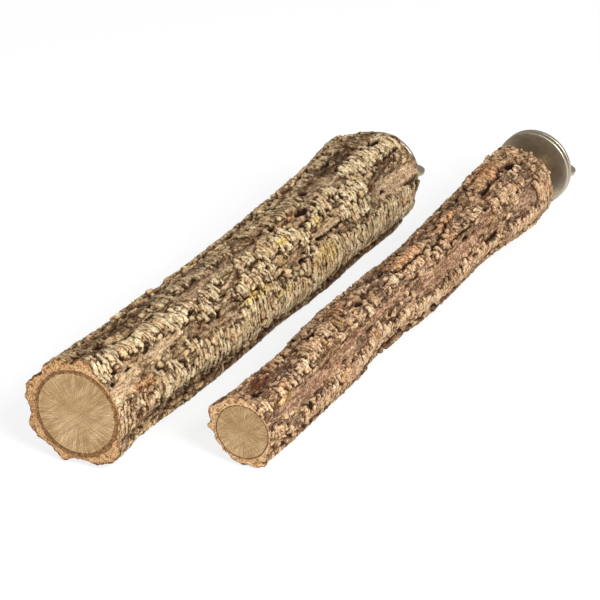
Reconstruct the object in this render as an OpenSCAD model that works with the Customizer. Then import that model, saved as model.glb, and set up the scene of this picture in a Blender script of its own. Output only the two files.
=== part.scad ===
// A pair of natural cork oak bird perches, one large and one small, with the
// bolt, washers and wing nut that clamp each to the wires of a cage.
// Both lie on their bark and run along Y. The sawn faces look towards -Y,
// and the hardware is at the back ends, towards +Y.

/* [Large perch] */
// Length of the wood
large_len = 290; // [180:1:420]
// Diameter of the wood at the sawn face
large_wood_d = 36.2; // [28:0.1:48]
// Thickness of the dark inner bark
large_inner_t = 1.9; // [0.6:0.1:3]
// Thickness of the cork in its deepest furrows
large_cork_t = 0.8; // [0.5:0.1:3]
// Height of the cork's ridges above its furrows
large_ridge_h = 4.7; // [1:0.1:7]
// Sideways bow of the middle
large_bow = 3.2; // [0:0.1:8]
// Rise of the bolt's axis above the middle of the sawn face
large_rise = -0.5; // [-2:0.1:4]
// Bare bolt between the wood and the inner washer
large_bare = 8.5; // [1:0.1:13]
// Turn of the wing nut from level, in degrees
large_nut_turn = 11; // [0:1:90]

/* [Small perch] */
// Length of the wood
small_len = 301.5; // [180:0.5:420]
// Diameter of the wood at the sawn face
small_wood_d = 23.6; // [18:0.1:34]
// Thickness of the dark inner bark
small_inner_t = 0.6; // [0.4:0.1:2]
// Thickness of the cork in its deepest furrows
small_cork_t = 0.7; // [0.5:0.1:3]
// Height of the cork's ridges above its furrows
small_ridge_h = 3.9; // [1:0.1:6]
// Largest sideways wander of the middle
small_bow = 1.6; // [0:0.1:5]
// Rise of the bolt's axis above the middle of the sawn face
small_rise = 3.6; // [0:0.1:6]
// Bare bolt between the wood and the inner washer
small_bare = 13; // [1:0.1:14]
// Turn of the wing nut from level, in degrees
small_nut_turn = 16; // [0:1:90]

/* [Layout] */
// Distance between the two bolt axes
perch_pitch = 62.3; // [60:0.1:90]
// How far the small sawn face stands behind the large one
perch_stagger = 29.5; // [0:0.1:60]

/* [Hardware] */
// Diameter of the bolts
bolt_d = 7.94; // [6:0.01:9]
// Length of bolt outside the wood
bolt_out = 31.75; // [29.5:0.05:45]
// Length of bolt inside the wood
bolt_in = 38; // [20:0.5:60]
// Outer diameter of the washers
washer_d = 38.1; // [26:0.1:40]
// Thickness of each washer
washer_t = 1.6; // [1:0.1:2.5]
// Diameter of the hole in a washer
washer_hole_d = 8.7; // [8.2:0.1:12]
// Space between the two washers, where the cage wires go
wire_gap = 1.6; // [1.2:0.1:3]
// Height of the wing nut's hub
nut_h = 9; // [6:0.1:9.5]
// Diameter of the wing nut's hub at its seat
nut_seat_d = 15.5; // [13:0.1:18]
// Diameter of the wing nut's hub at its outer end
nut_end_d = 12.2; // [11:0.1:13]
// Span over the wing tips
nut_span = 35; // [28:0.1:36]
// Height of the wing tips above the nut's seat
wing_h = 15; // [12:0.1:18]
// Thickness of a wing
wing_t = 2.3; // [1.4:0.1:3.5]

/* [Hidden] */

// Clearances and edges
bore_clear = 0.05;   // between a bolt and the hole or nut that holds it
seat_clear = 0.05;   // between the wing nut and the washer that it bears on
washer_edge = 0.35;  // bevel of a washer's rims
bolt_edge = 0.8;     // bevel of a bolt's free end
bolt_point = 8;      // taper of a bolt's point inside the wood
bolt_point_share = 0.25;
back_round = 6;      // length over which the cork crumbles away at the back end
overrun = 1;         // how far a cutting solid passes its face
wing_tip_r = 4.6;    // rounding of a wing's tip
wing_root_r = 3.2;   // rounding of a wing where it leaves the hub
wing_root_x = 5.2;   // middle of that rounding, from the bolt's axis
wing_root_z = 4;     // and from the nut's seat

// Facets
sides = 54;          // corners of each ring round a perch
bark_steps = 38;     // rings along the outside of the cork
core_steps = 7;      // rings along each surface inside it
$fn = 64;

// The girth and ridge tables run from the sawn face to the inner washer, and the wood
// ends at this share of them
large_span = large_len / (large_len + large_bare);
small_span = small_len / (small_len + small_bare);

// How thick each perch is along its way, against the sawn face
large_girth_shares = [
    [0, 1], [0.08, 0.97], [0.2, 0.98], [0.35, 0.97], [0.5, 0.945], [0.6, 0.99],
    [0.7, 0.995], [0.8, 1.01], [0.88, 1.06], [0.94, 1.09], [1, 1.06]
];
small_girth_shares = [
    [0, 0.99], [0.1, 1.02], [0.2, 0.98], [0.26, 1.03], [0.35, 1.01], [0.4, 0.98],
    [0.5, 1.02], [0.6, 1.02], [0.7, 1.01], [0.75, 1.04], [0.8, 1.1], [0.86, 1.2],
    [0.9, 1.22], [0.95, 1.12], [1, 1]
];

// Where each perch wanders sideways along its length, as shares of its bow
large_bow_shares = [
    [0, 0], [0.1, 0.3], [0.25, 0.75], [0.45, 1], [0.7, 0.95], [0.85, 0.5], [1, 0]
];
small_bow_shares = [
    [0, 0], [0.1, -0.1], [0.2, 0.7], [0.27, 0.5], [0.35, -0.6], [0.45, 0.2],
    [0.6, 1], [0.7, 0.4], [0.85, 0.6], [0.93, 0.7], [1, 0]
];

// Each ridge of cork is a crest that wanders as it runs along the perch: first the
// crest's angle above +X at shares of the way, then its height as a share of the
// full ridge, and last half of the angle that it covers.
large_ridge_shares = [
    [[[0, 80], [0.04, 71], [0.13, 67], [0.2, 66], [0.26, 62], [0.3, 58], [0.34, 60],
      [0.4, 66], [0.45, 65], [0.48, 59], [0.57, 55], [0.61, 49], [0.64, 54], [0.68, 64],
      [0.73, 65], [0.79, 72], [0.83, 76], [0.88, 71], [0.92, 65], [1, 61]],
     [[0, 1], [0.05, 0.85], [0.2, 1], [0.25, 0.75], [0.3, 0.35], [0.37, 0.3], [0.42, 0.7],
      [0.5, 0.95], [0.56, 1], [0.61, 0.5], [0.66, 0.7], [0.8, 0.75], [0.86, 1], [1, 0.85]],
     12],
    [[[0, 50], [0.14, 45], [0.21, 54], [0.27, 46], [0.38, 44], [0.47, 37], [0.58, 33],
      [0.66, 32], [0.7, 36], [0.75, 46], [0.79, 48], [0.84, 45], [1, 45]],
     [[0, 0.3], [0.14, 0.25], [0.21, 0.7], [0.25, 0.3], [0.28, 0.6], [0.33, 0.45],
      [0.38, 0.8], [0.44, 0.75], [0.5, 0.5], [0.56, 0.2], [0.66, 0.15], [0.71, 0.5],
      [0.76, 1], [0.8, 0.9], [0.85, 0.5], [1, 0.4]],
     11],
    [[[0, 28], [0.06, 22], [0.1, 14], [0.16, 22], [0.32, 20], [0.4, 27], [0.52, 12],
      [0.58, 20], [0.7, 16], [0.84, 12], [1, 8]],
     [[0, 0.15], [0.06, 0.6], [0.15, 0.3], [0.25, 0.5], [0.4, 0.75], [0.53, 0.5],
      [0.6, 0.8], [0.75, 0.4], [0.9, 0.6], [1, 0.5]],
     13],
    [[[0, -8], [0.04, -2], [0.1, 4], [0.15, 8], [0.2, 7], [0.27, 2], [0.33, -2],
      [0.48, -8], [0.55, -14], [0.6, -6], [0.65, -1], [0.72, -2], [0.8, -8], [1, -18]],
     [[0, 0.3], [0.05, 0.8], [0.12, 0.9], [0.3, 1], [0.85, 1], [1, 0.8]],
     16],
    [[[0, -44], [0.1, -40], [0.3, -46], [0.4, -44], [0.5, -50], [0.6, -42], [0.9, -50],
      [1, -48]],
     [[0, 1], [0.05, 0.75], [0.1, 0.6], [0.25, 0.85], [0.75, 0.9], [1, 0.8]],
     19],
    [[[0, 110], [0.1, 100], [0.2, 94], [0.5, 92], [0.56, 88], [0.62, 83], [0.7, 100],
      [0.8, 108], [1, 110]],
     [[0, 0.95], [0.06, 0.6], [0.12, 0.4], [0.2, 0.6], [0.3, 0.85], [0.63, 0.95],
      [0.67, 0.6], [0.85, 0.9], [1, 0.8]],
     13]
];
small_ridge_shares = [
    [[[0, 70], [0.07, 58], [0.13, 61], [0.18, 78], [0.235, 84], [0.31, 100], [0.38, 97],
      [0.44, 84], [0.55, 84], [0.6, 74], [0.65, 90], [0.7, 98], [0.83, 98], [1, 95]],
     [[0, 0.4], [0.07, 0.8], [0.18, 0.9], [0.235, 1], [0.28, 0.5], [0.31, 0.85],
      [0.35, 0.4], [0.38, 0.8], [0.42, 0.4], [0.46, 0.9], [0.55, 1], [0.59, 0.3],
      [0.63, 0.8], [0.73, 0.5], [0.82, 1], [0.86, 1], [0.89, 0.5], [1, 0.6]],
     15],
    [[[0, 48], [0.1, 46], [0.2, 52], [0.4, 63], [0.48, 62], [0.55, 55], [0.6, 58],
      [0.72, 48], [0.88, 58], [1, 55]],
     [[0, 0.3], [0.1, 0.5], [0.2, 0.4], [0.48, 0.6], [0.54, 0.4], [0.6, 1], [0.64, 0.5],
      [0.69, 0.7], [0.8, 0.6], [0.88, 0.3], [1, 0.5]],
     13],
    [[[0, 20], [0.2, 26], [0.32, 20], [0.4, 26], [0.8, 22], [1, 20]],
     [[0, 0.1], [0.2, 0.15], [0.31, 0.5], [0.36, 0.15], [0.6, 0.25], [0.8, 0.35],
      [0.9, 0.8], [1, 0.7]],
     17],
    [[[0, -8], [0.1, -4], [0.2, -6], [0.3, 3], [0.4, 5], [0.5, 0], [0.6, -6], [0.7, -7],
      [0.8, -14], [0.9, -6], [1, -4]],
     [[0, 0.4], [0.1, 0.8], [0.26, 0.8], [0.3, 0.5], [0.4, 0.4], [0.5, 0.7], [0.6, 0.9],
      [0.7, 0.6], [0.8, 0.9], [0.9, 1], [1, 0.6]],
     16],
    [[[0, -46], [0.15, -34], [0.3, -40], [0.5, -36], [0.7, -42], [1, -38]],
     [[0, 0.95], [0.2, 0.9], [0.3, 0.6], [0.45, 0.8], [0.6, 0.9], [0.75, 0.7], [0.9, 1],
      [1, 0.8]],
     17],
    [[[0, 112], [0.1, 106], [0.2, 116], [0.3, 124], [0.6, 112], [0.75, 122], [1, 122]],
     [[0, 0.8], [0.1, 0.9], [0.2, 0.6], [0.3, 0.8], [0.45, 0.6], [0.6, 0.6], [0.9, 0.9],
      [1, 0.7]],
     14]
];

// The ridges round the far side swing evenly about one angle: that angle, the height
// share at the sawn face and along the perch, and half of the angle that each covers.
large_far_shares = [
    [131, 0.75, 0.85, 13], [164, 0.92, 0.85, 14], [207, 0.9, 0.85, 15], [250, 0.7, 0.6, 15],
    [283, 0.2, 0.3, 14]
];
small_far_shares = [
    [156, 1, 0.85, 14], [180, 0.8, 0.85, 11], [209, 0.35, 0.65, 14], [262, 0.65, 0.86, 16],
    [291, 0.9, 0.92, 14]
];
far_ripple_share = 0.12;  // how much a far ridge's height comes and goes
far_start_share = 0.07;   // way over which the sawn face's height gives way to it
far_swing = 7;            // degrees to either side
far_waves = 2.3;          // swings along the perch
far_step = 75;            // degrees from one ridge's swing to the next

// Radii, and the places of the perches and of their hardware
large_wood_r = large_wood_d / 2;
small_wood_r = small_wood_d / 2;
bolt_r = bolt_d / 2;
large_back = [0, large_len, large_rise];
small_back = [0, small_len, small_rise];

function turn(a) = a - 360 * round(a / 360);
function crest(d) = d < 1 ? pow(1 - d * d, 2) : 0;

// The crests that cross the ring at share u of the way, each as an angle, a height
// share and half of the angle that it covers
function near_crests(u, ridges) = [for (r = ridges) [lookup(u, r[0]), lookup(u, r[1]), r[2]]];
function far_crests(u, ridges) = [
    for (k = [0 : len(ridges) - 1])
        let (
            r = ridges[k],
            swing = far_swing * sin(360 * far_waves * u + far_step * k),
            start = far_swing * sin(far_step * k),
            along = r[2] + far_ripple_share * sin(2 * 360 * far_waves * u + far_step * k),
            blend = min(1, u / far_start_share)
        )
        [r[0] + swing - start, r[1] + (along - r[1]) * blend, r[3]]
];
function relief(a, crests) = max([for (c = crests) c[1] * crest(abs(turn(a - c[0])) / c[2])]);

// The cork thins to its back edge over the last part of the length
function edge(u, length) =
    lookup((1 - u) * length / back_round, [[0, 0.35], [0.15, 0.62], [0.5, 0.9], [1, 1]]);

// One ring of points round a perch, from its middle and its radius at each angle
function ring(middle, radii) = [
    for (i = [0 : sides - 1])
        let (a = 360 * i / sides)
        middle + radii[i] * [cos(a), 0, sin(a)]
];
function even(r) = [for (i = [0 : sides - 1]) r];
function middle(u, length, bow, rise, wander) = [bow * lookup(u, wander), u * length, rise * u];

// Shares of the length at which the rings stand
core_places = [for (i = [0 : core_steps]) i / core_steps];
function bark_places(length) =
    let (smooth = 1 - back_round / length)
    concat(
        [for (i = [0 : bark_steps]) smooth * i / bark_steps],
        [for (s = [0.5, 0.15, 0]) 1 - s * back_round / length]
    );

// A stack of plain rings at a share of the girth, for the wood and the inner bark
function plain_stack(r, length, span, bow, rise, wander, girth) = [
    for (u = core_places)
        ring(middle(u, length, bow, rise, wander), even(r * lookup(u * span, girth)))
];

// The stack of ridged rings outside the cork
function bark_stack(
    floor_r, ridge_h, rim_r, length, span, bow, rise, wander, girth, near, far
) = [
    for (u = bark_places(length))
        let (
            crests = concat(near_crests(u * span, near), far_crests(u * span, far)),
            swell = lookup(u * span, girth),
            left = edge(u, length)
        )
        ring(
            middle(u, length, bow, rise, wander),
            [
                for (i = [0 : sides - 1])
                    let (outside = floor_r + ridge_h * relief(360 * i / sides, crests))
                    swell * (rim_r + (outside - rim_r) * left)
            ]
        )
];

large_core_rings = plain_stack(
    large_wood_r, large_len, large_span, large_bow, large_rise, large_bow_shares,
    large_girth_shares
);
large_inner_rings = plain_stack(
    large_wood_r + large_inner_t, large_len, large_span, large_bow, large_rise,
    large_bow_shares, large_girth_shares
);
large_bark_rings = bark_stack(
    large_wood_r + large_inner_t + large_cork_t, large_ridge_h, large_wood_r + large_inner_t,
    large_len, large_span, large_bow, large_rise, large_bow_shares, large_girth_shares,
    large_ridge_shares, large_far_shares
);
small_core_rings = plain_stack(
    small_wood_r, small_len, small_span, small_bow, small_rise, small_bow_shares,
    small_girth_shares
);
small_inner_rings = plain_stack(
    small_wood_r + small_inner_t, small_len, small_span, small_bow, small_rise,
    small_bow_shares, small_girth_shares
);
small_bark_rings = bark_stack(
    small_wood_r + small_inner_t + small_cork_t, small_ridge_h, small_wood_r + small_inner_t,
    small_len, small_span, small_bow, small_rise, small_bow_shares, small_girth_shares,
    small_ridge_shares, small_far_shares
);

// Each perch stands on its lowest ridge, and the frame is centred on the pair
function lowest(stack, axis) = min([for (r = stack) min([for (p = r) p[axis]])]);
function highest(stack, axis) = max([for (r = stack) max([for (p = r) p[axis]])]);
pair_left = lowest(large_bark_rings, 0);
pair_right = perch_pitch + max(highest(small_bark_rings, 0), washer_d / 2);
pair_back = bolt_out + max(large_len, perch_stagger + small_len);
large_place = [0, 0, -lowest(large_bark_rings, 2)]
    - [(pair_left + pair_right) / 2, pair_back / 2, 0];
small_place = [perch_pitch, perch_stagger, -lowest(small_bark_rings, 2)]
    - [(pair_left + pair_right) / 2, pair_back / 2, 0];

// The faces between ring j and ring j + 1 of a stack whose points start at index base
function wall(base, j, outward) = [
    for (i = [0 : sides - 1])
        let (
            a = base + j * sides + i,
            b = base + j * sides + (i + 1) % sides,
            c = a + sides,
            d = b + sides
        )
        each outward ? [[a, b, d], [a, d, c]] : [[a, d, b], [a, c, d]]
];
function cap(base, j, front) = [
    [for (i = [0 : sides - 1]) base + j * sides + (front ? sides - 1 - i : i)]
];

// A solid that fills a stack of rings
module filled(stack) {
    last = len(stack) - 1;
    polyhedron(
        points = [for (r = stack) each r],
        faces = concat(
            [for (j = [0 : last - 1]) each wall(0, j, true)],
            cap(0, 0, true),
            cap(0, last, false)
        )
    );
}

// The faces of the flat ring between an outer and an inner stack at one end
function rim(outer_base, inner_base, front) = [
    for (i = [0 : sides - 1])
        let (
            a = outer_base + i,
            b = outer_base + (i + 1) % sides,
            c = inner_base + i,
            d = inner_base + (i + 1) % sides
        )
        each front ? [[a, d, b], [a, c, d]] : [[a, b, d], [a, d, c]]
];

// A sleeve between an outer and an inner stack of rings
module sleeve(outer, inner) {
    outer_last = len(outer) - 1;
    inner_last = len(inner) - 1;
    inner_base = len(outer) * sides;
    polyhedron(
        points = concat([for (r = outer) each r], [for (r = inner) each r]),
        faces = concat(
            [for (j = [0 : outer_last - 1]) each wall(0, j, true)],
            [for (j = [0 : inner_last - 1]) each wall(inner_base, j, false)],
            rim(0, inner_base, true),
            rim(outer_last * sides, inner_base + inner_last * sides, false)
        )
    );
}

// Stands a shape that was drawn along Z on a bolt's axis, a distance behind the wood
module on_bolt(back, along) {
    translate(back + [0, along, 0]) rotate([-90, 0, 0]) children();
}

// The wood, drilled for its bolt
module wood_core(stack, back) {
    difference() {
        filled(stack);
        on_bolt(back, -bolt_in - bore_clear)
            cylinder(h = bolt_in + overrun, r = bolt_r + bore_clear);
    }
}

// The bolt, whose point is in the wood and whose plain outline is that of its thread
module hanger_bolt(back) {
    on_bolt(back, -bolt_in) {
        cylinder(h = bolt_point, r1 = bolt_r * bolt_point_share, r2 = bolt_r);
        translate([0, 0, bolt_point])
            cylinder(h = bolt_in - bolt_point + bolt_out - bolt_edge, r = bolt_r);
        translate([0, 0, bolt_in + bolt_out - bolt_edge])
            cylinder(h = bolt_edge, r1 = bolt_r, r2 = bolt_r - bolt_edge);
    }
}

module washer(back, along) {
    hole_r = washer_hole_d / 2;
    rim_r = washer_d / 2;
    on_bolt(back, along)
        rotate_extrude($fn = 96)
            polygon([
                [hole_r, 0], [rim_r - washer_edge, 0], [rim_r, washer_edge],
                [rim_r, washer_t - washer_edge], [rim_r - washer_edge, washer_t],
                [hole_r, washer_t]
            ]);
}

// One wing, drawn in the plane that holds the bolt's axis
module wing() {
    rotate([90, 0, 0])
        translate([0, 0, -wing_t / 2])
            linear_extrude(wing_t)
                hull() {
                    translate([wing_root_x, wing_root_z]) circle(wing_root_r, $fn = 32);
                    translate([nut_span / 2 - wing_tip_r, wing_h - wing_tip_r])
                        circle(wing_tip_r, $fn = 32);
                }
}

module wing_nut(back, along, turned) {
    bore_r = bolt_r + bore_clear;
    on_bolt(back, along)
        rotate([0, 0, turned])
            difference() {
                union() {
                    cylinder(h = nut_h, d1 = nut_seat_d, d2 = nut_end_d);
                    wing();
                    rotate([0, 0, 180]) wing();
                }
                translate([0, 0, -overrun]) cylinder(h = wing_h + 2 * overrun, r = bore_r);
            }
}

// Where the hardware stands along a bolt, from the wood's back end
function outer_washer_at(bare) = bare + washer_t + wire_gap;
function nut_at(bare) = outer_washer_at(bare) + washer_t + seat_clear;

module large_wood_core() {
    color("burlywood") translate(large_place) wood_core(large_core_rings, large_back);
}
module large_inner_bark() {
    color("saddlebrown") translate(large_place) sleeve(large_inner_rings, large_core_rings);
}
module large_cork_bark() {
    color("tan") translate(large_place) sleeve(large_bark_rings, large_inner_rings);
}
module large_hanger_bolt() {
    color("silver") translate(large_place) hanger_bolt(large_back);
}
module large_inner_washer() {
    color("lightgray") translate(large_place) washer(large_back, large_bare);
}
module large_outer_washer() {
    color("lightgray") translate(large_place) washer(large_back, outer_washer_at(large_bare));
}
module large_wing_nut() {
    color("silver") translate(large_place)
        wing_nut(large_back, nut_at(large_bare), large_nut_turn);
}

module small_wood_core() {
    color("burlywood") translate(small_place) wood_core(small_core_rings, small_back);
}
module small_inner_bark() {
    color("saddlebrown") translate(small_place) sleeve(small_inner_rings, small_core_rings);
}
module small_cork_bark() {
    color("rosybrown") translate(small_place) sleeve(small_bark_rings, small_inner_rings);
}
module small_hanger_bolt() {
    color("silver") translate(small_place) hanger_bolt(small_back);
}
module small_inner_washer() {
    color("lightgray") translate(small_place) washer(small_back, small_bare);
}
module small_outer_washer() {
    color("lightgray") translate(small_place) washer(small_back, outer_washer_at(small_bare));
}
module small_wing_nut() {
    color("silver") translate(small_place)
        wing_nut(small_back, nut_at(small_bare), small_nut_turn);
}

large_wood_core();
large_inner_bark();
large_cork_bark();
large_hanger_bolt();
large_inner_washer();
large_outer_washer();
large_wing_nut();
small_wood_core();
small_inner_bark();
small_cork_bark();
small_hanger_bolt();
small_inner_washer();
small_outer_washer();
small_wing_nut();
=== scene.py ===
"""The looks of a pair of cork bark bird perches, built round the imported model.

Lengths are in millimetres until a mesh is made, and angles in degrees. An angle round a
perch is counted from +X towards +Z, as seen from its sawn end. A place along a perch is
its share of the way from the sawn face to the inner washer.
"""

import math

import bpy
import numpy as np
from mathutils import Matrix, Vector
from mathutils.bvhtree import BVHTree


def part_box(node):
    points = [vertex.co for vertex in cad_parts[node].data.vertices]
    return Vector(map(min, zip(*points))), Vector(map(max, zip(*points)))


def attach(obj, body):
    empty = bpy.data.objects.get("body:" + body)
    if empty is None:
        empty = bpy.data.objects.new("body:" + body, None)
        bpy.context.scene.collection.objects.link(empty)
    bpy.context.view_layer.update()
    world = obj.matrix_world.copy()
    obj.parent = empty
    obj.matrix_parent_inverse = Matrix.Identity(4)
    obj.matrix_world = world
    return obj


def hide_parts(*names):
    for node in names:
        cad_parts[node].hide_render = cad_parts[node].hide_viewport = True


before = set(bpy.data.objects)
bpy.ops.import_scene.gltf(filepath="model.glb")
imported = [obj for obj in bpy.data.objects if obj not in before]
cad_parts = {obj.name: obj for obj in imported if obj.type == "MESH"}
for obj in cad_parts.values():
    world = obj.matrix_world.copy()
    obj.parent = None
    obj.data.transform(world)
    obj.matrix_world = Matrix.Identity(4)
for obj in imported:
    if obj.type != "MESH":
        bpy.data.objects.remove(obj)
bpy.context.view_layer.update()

MM = 0.001
FACING = 45.7  # the angle round the perches that faces the camera

# Edges that bend more than this, in degrees, look sharp
SHARP = 42
SHARP_BARK = 10
SHARP_METAL = 30
SHARP_THREAD = 50

# Colours, as they look on a screen
CREAM = (250, 232, 206)
STRAW = (236, 208, 174)
TAN = (206, 174, 142)
PINK_TAN = (204, 180, 158)
GRAY_BROWN = (174, 153, 130)
GRAY = (160, 148, 134)
UMBER = (100, 67, 44)
# painted shade in cracks, hollows, pits and round the plates
CREVICE_SHADE = (34, 20, 9)
ORANGE = (216, 164, 118)
YELLOW = (236, 206, 112)
RUST = (142, 86, 62)
GREEN = (150, 152, 106)
SAWN_CORK = (218, 184, 142)
WOOD_DARK = (164, 138, 104)
WOOD_PALE = (218, 196, 162)
INNER_DARK = (72, 44, 22)
INNER_BROWN = (119, 82, 46)
INNER_PALE = (164, 123, 77)
STEEL_DARK = (192, 180, 158)
STEEL_PALE = (202, 191, 172)

# Tints, which a colour is multiplied by
WHITE = (255, 255, 255)
PAPER = (255, 254, 250)
IVORY = (255, 252, 236)
ROSY = (230, 219, 204)
COOL = (240, 245, 255)
GRAIN_TINT = (134, 114, 84)
# painted shade in the thin cracks of the broken cork
CRACK_SHADE_TINT = (104, 74, 42)
# painted warm shade over the darkest colours
WARM_SHADE_TINT = (170, 118, 66)
CLOUD_TINT = (226, 216, 200)
END_GRAIN_TINT = (212, 202, 188)
SAW_TINT = (232, 226, 216)


def linear(colour):
    """A screen colour as the light that the shaders work in"""
    c = np.array(colour, float) / 255
    return np.where(c < 0.04045, c / 12.92, ((c + 0.055) / 1.055) ** 2.4)


def rgba(colour):
    return (*linear(colour), 1.0)


# Fields of numbers

# How many rows the tables of random values have: powers of 2, so that one less is a mask
NOISE_ROWS = 256
STRIP_ROWS = 4096


def ease(x, low, high):
    """Rises smoothly from 0 at low to 1 at high"""
    t = np.clip((x - low) / (high - low), 0, 1)
    return t * t * (3 - 2 * t)


def peak(x, width):
    """1 at x = 0, gone at a few widths"""
    return np.exp(-((x / width) ** 2))


def mix(a, b, share):
    """Colour a with a share of colour b"""
    share = np.asarray(share)[..., None]
    return a * (1 - share) + b * share


def coat(colour, *coats):
    """The colour with others over it, each with its share"""
    for tone, share in coats:
        colour = mix(colour, linear(tone), share)
    return colour


def blur(field, rows, columns):
    """The field averaged over so many rows and columns to each side; columns wrap round"""
    for axis, reach, mode in ((0, rows, "edge"), (1, columns, "wrap")):
        pad = [(0, 0), (0, 0)]
        pad[axis] = (reach, reach)
        for _ in range(2):
            sums = np.cumsum(np.pad(field, pad, mode=mode), axis=axis)
            sums = np.insert(sums, 0, 0, axis=axis)
            count = 2 * reach + 1
            ends = np.take(sums, range(count, sums.shape[axis]), axis=axis)
            starts = np.take(sums, range(0, sums.shape[axis] - count), axis=axis)
            field = (ends - starts) / count
    return field


class Noise:
    """Smooth random values from about -1 to 1 in space, the same at each run. A number
    added to all the points gives a field of its own."""

    GAIN, ROUGH_GAIN = 1.7, 1.3
    OFFSET = 37.3  # between one octave's field and the next

    def __init__(self, seed):
        draw = np.random.default_rng(seed)
        self.order = draw.permutation(NOISE_ROWS)
        slopes = draw.normal(size=(NOISE_ROWS, 3))
        self.slopes = slopes / np.linalg.norm(slopes, axis=1)[:, None]

    def at(self, points, size):
        """The values at points, with features about size across"""
        spot = points / size
        cell = np.floor(spot).astype(int)
        part = spot - cell
        blend = part**3 * (part * (part * 6 - 15) + 10)
        total = np.zeros(points.shape[:-1])
        mask = NOISE_ROWS - 1
        for corner in np.ndindex(2, 2, 2):
            a, b, c = np.moveaxis((cell + corner) & mask, -1, 0)
            pick = self.order[(self.order[(self.order[a] + b) & mask] + c) & mask]
            weight = np.prod(np.where(np.array(corner) == 1, blend, 1 - blend), axis=-1)
            total += weight * np.sum(self.slopes[pick] * (part - corner), axis=-1)
        return self.GAIN * total

    def rough(self, points, size, octaves=3, keep=0.55):
        """The same with ever finer detail on top"""
        total, height, full = 0, 1, 0
        for k in range(octaves):
            total = total + height * self.at(points + self.OFFSET * k, size / 2**k)
            full += height
            height *= keep
        return self.ROUGH_GAIN * total / full


def strips(t, seed, jitter=0.75):
    """Uneven strips along t, about 1 wide: how far the nearest joint is, the strip's
    number, a random value for it, and the place across it from -0.5 to 0.5"""
    table = np.random.default_rng(seed).random(STRIP_ROWS)
    mask = STRIP_ROWS - 1
    i = np.floor(t).astype(int)

    def joint(k):
        return k + jitter * (table[k & mask] - 0.5)

    i = np.where(t < joint(i), i - 1, np.where(t >= joint(i + 1), i + 1, i))
    start, end = joint(i), joint(i + 1)
    gap = np.minimum(t - start, end - t)
    return gap, i, table[(i * 7 + 3) & mask], (t - start) / (end - start) - 0.5


def crumbs(points, size, seed):
    """Uneven crumbs in space: how far the nearest joint is, and three random values"""
    table = np.random.default_rng(seed).random((STRIP_ROWS, 6))
    mask = STRIP_ROWS - 1
    spot = points / size
    cell = np.floor(spot).astype(int)
    best = np.full(points.shape[:-1], np.inf)
    second = best.copy()
    own = np.zeros(points.shape)
    for step in np.ndindex(3, 3, 3):
        near = cell + step - 1
        pick = (near[..., 0] * 73 + near[..., 1] * 179 + near[..., 2] * 283) & mask
        away = np.linalg.norm(spot - near - table[pick, :3], axis=-1)
        nearer = away < best
        second = np.where(nearer, best, np.minimum(second, away))
        own = np.where(nearer[..., None], table[pick, 3:], own)
        best = np.where(nearer, away, best)
    return (second - best) * size, own


def smooth_lookup(table, row, column):
    """The table's value between its rows and columns; columns wrap round"""

    def weights(t):
        return (
            ((2 - t) * t - 1) * t / 2,
            ((3 * t - 5) * t * t + 2) / 2,
            ((4 - 3 * t) * t + 1) * t / 2,
            (t - 1) * t * t / 2,
        )

    row = np.clip(row, 0, len(table) - 1)
    i, j = np.floor(row).astype(int), np.floor(column).astype(int)
    down, across = weights(row - i), weights(column - j)
    total = 0
    for a in range(4):
        near = np.clip(i + a - 1, 0, len(table) - 1)
        for b in range(4):
            total = total + down[a] * across[b] * table[near, (j + b - 1) % table.shape[1]]
    return total


# What the photograph shows on each perch

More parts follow.
